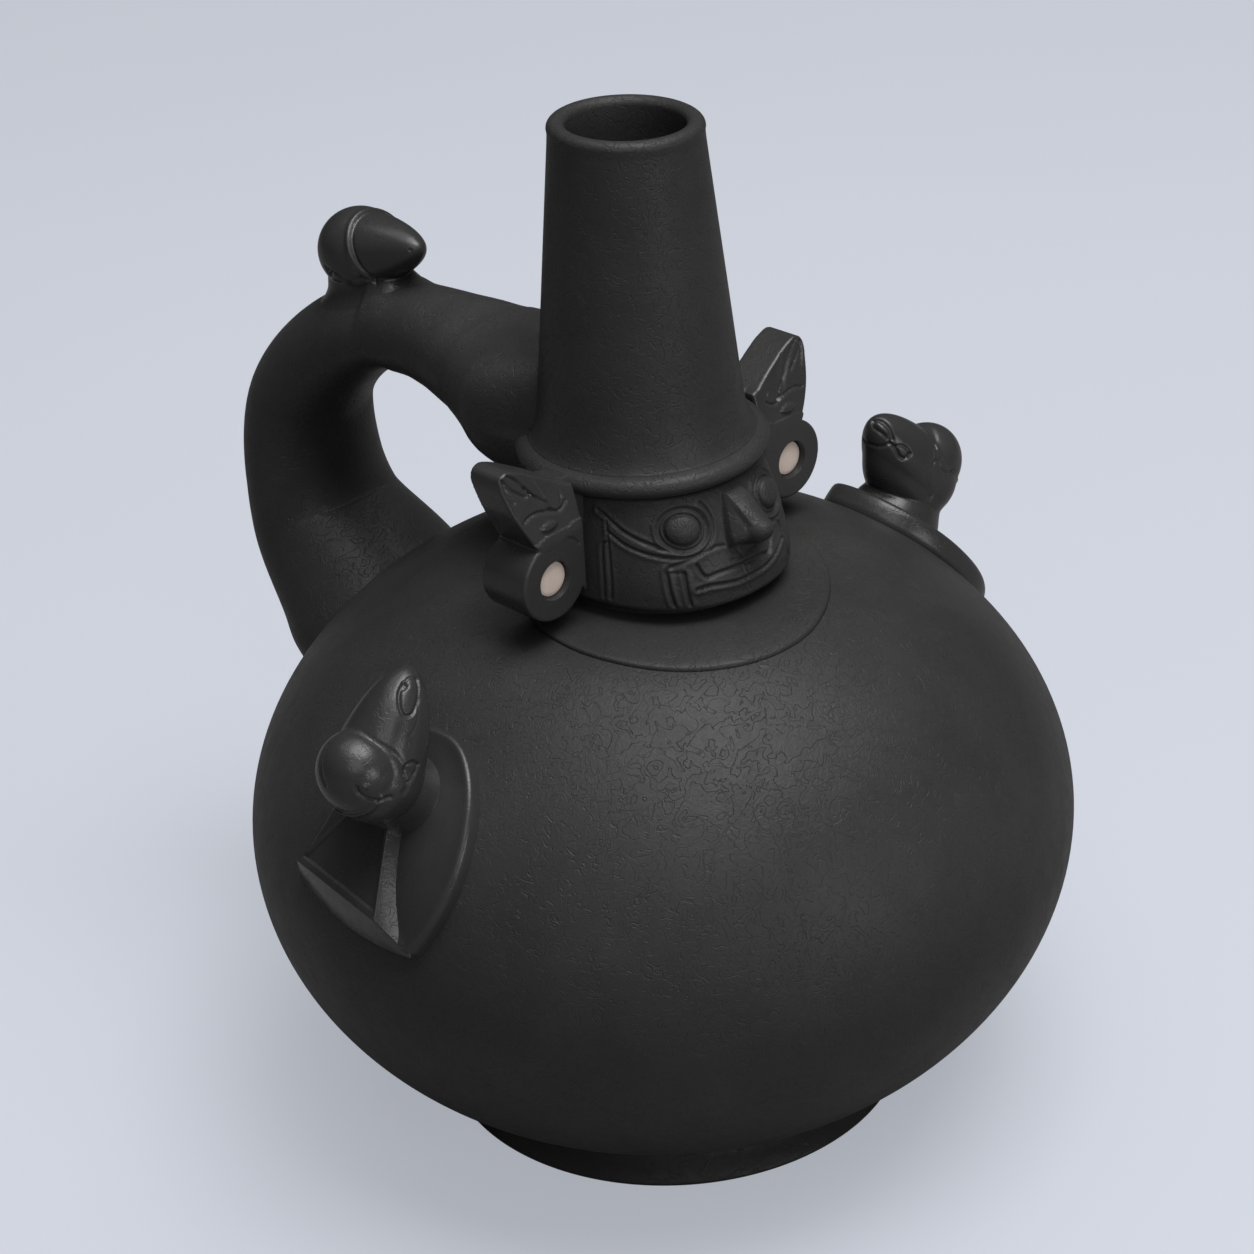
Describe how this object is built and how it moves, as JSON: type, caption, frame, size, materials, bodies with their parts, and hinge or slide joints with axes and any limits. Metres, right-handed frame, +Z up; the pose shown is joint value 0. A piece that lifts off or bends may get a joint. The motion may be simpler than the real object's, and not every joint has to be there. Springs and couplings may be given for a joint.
{
  "type": "spouted ceramic bottle",
  "caption": "Hollow blackware bottle on a ring foot: globe body, carved face drum, tapering open spout, loop handle with a bird's head, winged ears and side figures",
  "frame": {"origin": "middle of the bounding box's underside, on the plane that the foot ring stands on", "axes": "+Z is up along the spout, the carved face looks towards -Y, the handle is at +Y, and X = 0 is the plane of symmetry between the two ears"},
  "size_m": [0.1692, 0.1908, 0.199],
  "materials": {
    "blackware": "black-fired earthenware, burnished to a satin sheen with fine polishing marks",
    "pale_inlay": "cream inlay, smooth and slightly warm"
  },
  "bodies": {
    "root": {"foot_ring": "blackware", "lower_bowl": "blackware", "upper_bowl": "blackware", "shoulder_collar": "blackware", "face_drum": "blackware", "brow_ring": "blackware", "spout": "blackware", "handle": "blackware", "bird_neck": "blackware", "bird_hood": "blackware", "bird_beak": "blackware", "right_ear": "blackware", "left_ear": "blackware", "right_ear_inlay": "pale_inlay", "left_ear_inlay": "pale_inlay", "right_eye": "blackware", "left_eye": "blackware", "nose": "blackware", "right_figure_plaque": "blackware", "right_figure_neck": "blackware", "right_figure_tail": "blackware", "right_figure_ball": "blackware", "right_figure_muzzle": "blackware", "left_figure_plaque": "blackware", "left_figure_neck": "blackware", "left_figure_tail": "blackware", "left_figure_ball": "blackware", "left_figure_muzzle": "blackware"}
  },
  "joints": []
}
